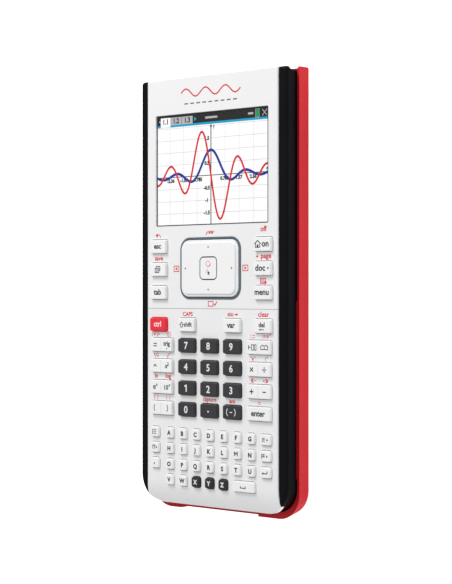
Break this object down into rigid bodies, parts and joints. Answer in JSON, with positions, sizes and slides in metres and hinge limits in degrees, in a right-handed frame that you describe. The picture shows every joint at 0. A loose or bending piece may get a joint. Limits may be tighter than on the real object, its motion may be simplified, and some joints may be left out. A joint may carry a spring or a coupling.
{
  "type": "handheld graphing calculator",
  "caption": "Handheld graphing calculator with colour display, click touchpad, digit and letter keypads, and a slide cover clipped to its back.",
  "frame": {"origin": "centre of the cover's underside, which rests on the table", "axes": "+Z out of the face, +Y towards the display end, +X to the user's right"},
  "size_m": [0.086, 0.1934, 0.0174],
  "materials": {
    "white_faceplate": "fine satin moulded",
    "white_key": "satin",
    "black_case": "satin moulded",
    "red_cover": "satin moulded",
    "red_key": "satin",
    "grey_key": "satin",
    "black_key": "satin",
    "blue_grey_ring": "satin",
    "battery_wrap": "film wrapped",
    "gold_contact": "plated",
    "screw_steel": "machined",
    "circuit_board": "solder mask",
    "chip_black": "matte",
    "display_image": "backlit image",
    "clear_window": "clear",
    "flex_film": "film",
    "silicone": "matte",
    "rubber_foot": "matte"
  },
  "bodies": {
    "case": {"upper_faceplate": "white_faceplate", "lower_faceplate": "white_faceplate", "front_case": "black_case", "rear_case": "black_case", "battery_door": "black_case", "battery": "battery_wrap", "battery_contacts": "gold_contact", "case_screws": "screw_steel", "main_board": "circuit_board", "board_chips": "chip_black", "lcd_panel": "display_image", "lcd_frame": "black_case", "display_window": "clear_window", "lcd_flex_cable": "flex_film", "touchpad_ring": "blue_grey_ring", "key_mat": "silicone", "usb_port": "screw_steel", "dock_connector": "chip_black", "rubber_feet": "rubber_foot"},
    "cover": {"slide_cover": "red_cover"},
    "pad_carrier": {"touchpad_carrier": "black_case"},
    "pad_gimbal": {"touchpad_gimbal": "screw_steel"},
    "pad_cap": {"touchpad_cap": "white_key", "touchpad_sensor": "circuit_board"},
    "reset": {"reset_button": "chip_black"},
    "escape_key": {"escape_key": "white_key"},
    "notepad_key": {"notepad_key": "white_key"},
    "tab_key": {"tab_key": "white_key"},
    "on_key": {"on_key": "white_key"},
    "document_key": {"document_key": "white_key"},
    "menu_key": {"menu_key": "white_key"},
    "control_key": {"control_key": "red_key"},
    "shift_key": {"shift_key": "white_key"},
    "variable_key": {"variable_key": "white_key"},
    "delete_key": {"delete_key": "white_key"},
    "enter_key": {"enter_key": "white_key"},
    "digit_7_key": {"digit_7_key": "grey_key"},
    "digit_8_key": {"digit_8_key": "grey_key"},
    "digit_9_key": {"digit_9_key": "grey_key"},
    "digit_4_key": {"digit_4_key": "grey_key"},
    "digit_5_key": {"digit_5_key": "grey_key"},
    "digit_6_key": {"digit_6_key": "grey_key"},
    "digit_1_key": {"digit_1_key": "grey_key"},
    "digit_2_key": {"digit_2_key": "grey_key"},
    "digit_3_key": {"digit_3_key": "grey_key"},
    "digit_0_key": {"digit_0_key": "grey_key"},
    "decimal_point_key": {"decimal_point_key": "grey_key"},
    "negative_key": {"negative_key": "grey_key"},
    "equals_trig_key": {"equals_trig_key": "white_key"},
    "power_square_key": {"power_square_key": "white_key"},
    "exponent_key": {"exponent_key": "white_key"},
    "bracket_key": {"bracket_key": "white_key"},
    "template_catalog_key": {"template_catalog_key": "white_key"},
    "multiply_divide_key": {"multiply_divide_key": "white_key"},
    "plus_minus_key": {"plus_minus_key": "white_key"},
    "letter_keys_row_1": {"letter_keys_row_1": "white_key"},
    "letter_keys_row_2": {"letter_keys_row_2": "white_key"},
    "letter_keys_row_3": {"letter_keys_row_3": "white_key"},
    "letter_keys_row_4": {"letter_keys_row_4": "white_key"},
    "xyz_keys": {"xyz_keys": "black_key"}
  },
  "joints": [
    {"name": "cover_slide", "type": "slide", "parent": "case", "child": "cover", "axis": [0, -1, 0], "range_m": [0, 0.2]},
    {"name": "touchpad_press", "type": "slide", "parent": "case", "child": "pad_carrier", "axis": [0, 0, -1], "range_m": [0, 0.0003], "stiffness_N_per_m": 1500, "springref_m": -0.0004},
    {"name": "touchpad_tilt_x", "type": "hinge", "parent": "pad_carrier", "child": "pad_gimbal", "pos_m": [0, 0.01105, 0.0125], "axis": [1, 0, 0], "range_deg": [-1.2, 1.2], "stiffness_Nm_per_rad": 0.3},
    {"name": "touchpad_tilt_y", "type": "hinge", "parent": "pad_gimbal", "child": "pad_cap", "pos_m": [0, 0.01105, 0.0125], "axis": [0, 1, 0], "range_deg": [-1.2, 1.2], "stiffness_Nm_per_rad": 0.3},
    {"name": "reset_press", "type": "slide", "parent": "case", "child": "reset", "axis": [0, 0, 1], "range_m": [0, 0.0004], "stiffness_N_per_m": 600, "springref_m": -0.0004},
    {"name": "equals_trig_rock", "type": "hinge", "parent": "case", "child": "equals_trig_key", "pos_m": [-0.0286, -0.023, 0.014], "axis": [0, 1, 0], "range_deg": [-3, 3], "stiffness_Nm_per_rad": 0.03},
    {"name": "power_square_rock", "type": "hinge", "parent": "case", "child": "power_square_key", "pos_m": [-0.0286, -0.03245, 0.014], "axis": [0, 1, 0], "range_deg": [-3, 3], "stiffness_Nm_per_rad": 0.03},
    {"name": "exponent_rock", "type": "hinge", "parent": "case", "child": "exponent_key", "pos_m": [-0.0286, -0.0419, 0.014], "axis": [0, 1, 0], "range_deg": [-3, 3], "stiffness_Nm_per_rad": 0.03},
    {"name": "bracket_rock", "type": "hinge", "parent": "case", "child": "bracket_key", "pos_m": [-0.0286, -0.05135, 0.014], "axis": [0, 1, 0], "range_deg": [-3, 3], "stiffness_Nm_per_rad": 0.03},
    {"name": "template_catalog_rock", "type": "hinge", "parent": "case", "child": "template_catalog_key", "pos_m": [0.0286, -0.023, 0.014], "axis": [0, 1, 0], "range_deg": [-3, 3], "stiffness_Nm_per_rad": 0.03},
    {"name": "multiply_divide_rock", "type": "hinge", "parent": "case", "child": "multiply_divide_key", "pos_m": [0.0286, -0.03245, 0.014], "axis": [0, 1, 0], "range_deg": [-3, 3], "stiffness_Nm_per_rad": 0.03},
    {"name": "plus_minus_rock", "type": "hinge", "parent": "case", "child": "plus_minus_key", "pos_m": [0.0286, -0.0419, 0.014], "axis": [0, 1, 0], "range_deg": [-3, 3], "stiffness_Nm_per_rad": 0.03},
    {"name": "letters_row_1_press", "type": "slide", "parent": "case", "child": "letter_keys_row_1", "axis": [0, 0, -1], "range_m": [0, 0.0007], "stiffness_N_per_m": 800, "springref_m": -0.0005},
    {"name": "letters_row_2_press", "type": "slide", "parent": "case", "child": "letter_keys_row_2", "axis": [0, 0, -1], "range_m": [0, 0.0007], "stiffness_N_per_m": 800, "springref_m": -0.0005},
    {"name": "letters_row_3_press", "type": "slide", "parent": "case", "child": "letter_keys_row_3", "axis": [0, 0, -1], "range_m": [0, 0.0007], "stiffness_N_per_m": 800, "springref_m": -0.0005},
    {"name": "letters_row_4_press", "type": "slide", "parent": "case", "child": "letter_keys_row_4", "axis": [0, 0, -1], "range_m": [0, 0.0007], "stiffness_N_per_m": 800, "springref_m": -0.0005},
    {"name": "xyzs_press", "type": "slide", "parent": "case", "child": "xyz_keys", "axis": [0, 0, -1], "range_m": [0, 0.0007], "stiffness_N_per_m": 800, "springref_m": -0.0005},
    {"name": "escape_press", "type": "slide", "parent": "case", "child": "escape_key", "axis": [0, 0, -1], "range_m": [0, 0.0007], "stiffness_N_per_m": 800, "springref_m": -0.0005},
    {"name": "notepad_press", "type": "slide", "parent": "case", "child": "notepad_key", "axis": [0, 0, -1], "range_m": [0, 0.0007], "stiffness_N_per_m": 800, "springref_m": -0.0005},
    {"name": "tab_press", "type": "slide", "parent": "case", "child": "tab_key", "axis": [0, 0, -1], "range_m": [0, 0.0007], "stiffness_N_per_m": 800, "springref_m": -0.0005},
    {"name": "on_press", "type": "slide", "parent": "case", "child": "on_key", "axis": [0, 0, -1], "range_m": [0, 0.0007], "stiffness_N_per_m": 800, "springref_m": -0.0005},
    {"name": "document_press", "type": "slide", "parent": "case", "child": "document_key", "axis": [0, 0, -1], "range_m": [0, 0.0007], "stiffness_N_per_m": 800, "springref_m": -0.0005},
    {"name": "menu_press", "type": "slide", "parent": "case", "child": "menu_key", "axis": [0, 0, -1], "range_m": [0, 0.0007], "stiffness_N_per_m": 800, "springref_m": -0.0005},
    {"name": "control_press", "type": "slide", "parent": "case", "child": "control_key", "axis": [0, 0, -1], "range_m": [0, 0.0007], "stiffness_N_per_m": 800, "springref_m": -0.0005},
    {"name": "shift_press", "type": "slide", "parent": "case", "child": "shift_key", "axis": [0, 0, -1], "range_m": [0, 0.0007], "stiffness_N_per_m": 800, "springref_m": -0.0005},
    {"name": "variable_press", "type": "slide", "parent": "case", "child": "variable_key", "axis": [0, 0, -1], "range_m": [0, 0.0007], "stiffness_N_per_m": 800, "springref_m": -0.0005},
    {"name": "delete_press", "type": "slide", "parent": "case", "child": "delete_key", "axis": [0, 0, -1], "range_m": [0, 0.0007], "stiffness_N_per_m": 800, "springref_m": -0.0005},
    {"name": "enter_press", "type": "slide", "parent": "case", "child": "enter_key", "axis": [0, 0, -1], "range_m": [0, 0.0007], "stiffness_N_per_m": 800, "springref_m": -0.0005},
    {"name": "digit_7_press", "type": "slide", "parent": "case", "child": "digit_7_key", "axis": [0, 0, -1], "range_m": [0, 0.0007], "stiffness_N_per_m": 800, "springref_m": -0.0005},
    {"name": "digit_8_press", "type": "slide", "parent": "case", "child": "digit_8_key", "axis": [0, 0, -1], "range_m": [0, 0.0007], "stiffness_N_per_m": 800, "springref_m": -0.0005},
    {"name": "digit_9_press", "type": "slide", "parent": "case", "child": "digit_9_key", "axis": [0, 0, -1], "range_m": [0, 0.0007], "stiffness_N_per_m": 800, "springref_m": -0.0005},
    {"name": "digit_4_press", "type": "slide", "parent": "case", "child": "digit_4_key", "axis": [0, 0, -1], "range_m": [0, 0.0007], "stiffness_N_per_m": 800, "springref_m": -0.0005},
    {"name": "digit_5_press", "type": "slide", "parent": "case", "child": "digit_5_key", "axis": [0, 0, -1], "range_m": [0, 0.0007], "stiffness_N_per_m": 800, "springref_m": -0.0005},
    {"name": "digit_6_press", "type": "slide", "parent": "case", "child": "digit_6_key", "axis": [0, 0, -1], "range_m": [0, 0.0007], "stiffness_N_per_m": 800, "springref_m": -0.0005},
    {"name": "digit_1_press", "type": "slide", "parent": "case", "child": "digit_1_key", "axis": [0, 0, -1], "range_m": [0, 0.0007], "stiffness_N_per_m": 800, "springref_m": -0.0005},
    {"name": "digit_2_press", "type": "slide", "parent": "case", "child": "digit_2_key", "axis": [0, 0, -1], "range_m": [0, 0.0007], "stiffness_N_per_m": 800, "springref_m": -0.0005},
    {"name": "digit_3_press", "type": "slide", "parent": "case", "child": "digit_3_key", "axis": [0, 0, -1], "range_m": [0, 0.0007], "stiffness_N_per_m": 800, "springref_m": -0.0005},
    {"name": "digit_0_press", "type": "slide", "parent": "case", "child": "digit_0_key", "axis": [0, 0, -1], "range_m": [0, 0.0007], "stiffness_N_per_m": 800, "springref_m": -0.0005},
    {"name": "decimal_point_press", "type": "slide", "parent": "case", "child": "decimal_point_key", "axis": [0, 0, -1], "range_m": [0, 0.0007], "stiffness_N_per_m": 800, "springref_m": -0.0005},
    {"name": "negative_press", "type": "slide", "parent": "case", "child": "negative_key", "axis": [0, 0, -1], "range_m": [0, 0.0007], "stiffness_N_per_m": 800, "springref_m": -0.0005}
  ]
}
